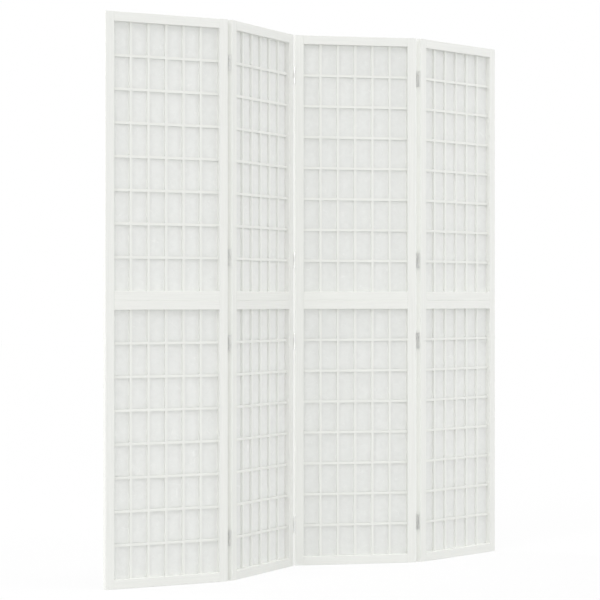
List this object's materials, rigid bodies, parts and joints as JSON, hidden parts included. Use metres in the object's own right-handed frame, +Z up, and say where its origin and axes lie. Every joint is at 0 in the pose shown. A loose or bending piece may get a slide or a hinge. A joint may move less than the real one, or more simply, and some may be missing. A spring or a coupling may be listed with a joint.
{
  "type": "folding room divider",
  "caption": "Free-standing folding screen of hinged white-painted wooden panels, each with a lattice in front of translucent white paper, standing in a zigzag.",
  "frame": {"origin": "on the floor, at the middle of the box round the standing screen", "axes": "+Z up, +X along the zigzag from the outer edge of panel 1 to that of panel 4, -Y to the front"},
  "size_m": [1.5548, 0.1944, 1.7],
  "materials": {
    "painted_wood": "white satin paint",
    "bare_wood": "unfinished, hidden",
    "paper": "matte translucent paper",
    "hinge_steel": "zinc plated"
  },
  "bodies": {
    "panel_1": {"hinge_pins_1_2": "hinge_steel", "panel_1_joining_tongues": "bare_wood", "panel_1_lattice_crossbars": "painted_wood", "panel_1_lattice_uprights": "painted_wood", "panel_1_lower_left_stile": "painted_wood", "panel_1_lower_paper": "paper", "panel_1_lower_rails": "painted_wood", "panel_1_lower_right_stile": "painted_wood", "panel_1_retaining_beads": "painted_wood", "panel_1_right_hinge_leaves": "hinge_steel", "panel_1_upper_left_stile": "painted_wood", "panel_1_upper_paper": "paper", "panel_1_upper_rails": "painted_wood", "panel_1_upper_right_stile": "painted_wood"},
    "panel_2": {"hinge_pins_2_3": "hinge_steel", "panel_2_joining_tongues": "bare_wood", "panel_2_lattice_crossbars": "painted_wood", "panel_2_lattice_uprights": "painted_wood", "panel_2_left_hinge_leaves": "hinge_steel", "panel_2_lower_left_stile": "painted_wood", "panel_2_lower_paper": "paper", "panel_2_lower_rails": "painted_wood", "panel_2_lower_right_stile": "painted_wood", "panel_2_retaining_beads": "painted_wood", "panel_2_right_hinge_leaves": "hinge_steel", "panel_2_upper_left_stile": "painted_wood", "panel_2_upper_paper": "paper", "panel_2_upper_rails": "painted_wood", "panel_2_upper_right_stile": "painted_wood"},
    "panel_3": {"hinge_pins_3_4": "hinge_steel", "panel_3_joining_tongues": "bare_wood", "panel_3_lattice_crossbars": "painted_wood", "panel_3_lattice_uprights": "painted_wood", "panel_3_left_hinge_leaves": "hinge_steel", "panel_3_lower_left_stile": "painted_wood", "panel_3_lower_paper": "paper", "panel_3_lower_rails": "painted_wood", "panel_3_lower_right_stile": "painted_wood", "panel_3_retaining_beads": "painted_wood", "panel_3_right_hinge_leaves": "hinge_steel", "panel_3_upper_left_stile": "painted_wood", "panel_3_upper_paper": "paper", "panel_3_upper_rails": "painted_wood", "panel_3_upper_right_stile": "painted_wood"},
    "panel_4": {"panel_4_joining_tongues": "bare_wood", "panel_4_lattice_crossbars": "painted_wood", "panel_4_lattice_uprights": "painted_wood", "panel_4_left_hinge_leaves": "hinge_steel", "panel_4_lower_left_stile": "painted_wood", "panel_4_lower_paper": "paper", "panel_4_lower_rails": "painted_wood", "panel_4_lower_right_stile": "painted_wood", "panel_4_retaining_beads": "painted_wood", "panel_4_upper_left_stile": "painted_wood", "panel_4_upper_paper": "paper", "panel_4_upper_rails": "painted_wood", "panel_4_upper_right_stile": "painted_wood"}
  },
  "joints": [
    {"name": "fold_1_2", "type": "hinge", "parent": "panel_1", "child": "panel_2", "pos_m": [-0.37622, -0.07049, 0.85], "axis": [0, 0, 1], "range_deg": [-34, 146]},
    {"name": "fold_2_3", "type": "hinge", "parent": "panel_2", "child": "panel_3", "pos_m": [0.00179, 0.07982, 0.85], "axis": [0, 0, 1], "range_deg": [-129.4, 50.6]},
    {"name": "fold_3_4", "type": "hinge", "parent": "panel_3", "child": "panel_4", "pos_m": [0.37703, -0.07727, 0.85], "axis": [0, 0, 1], "range_deg": [-36, 144]}
  ]
}
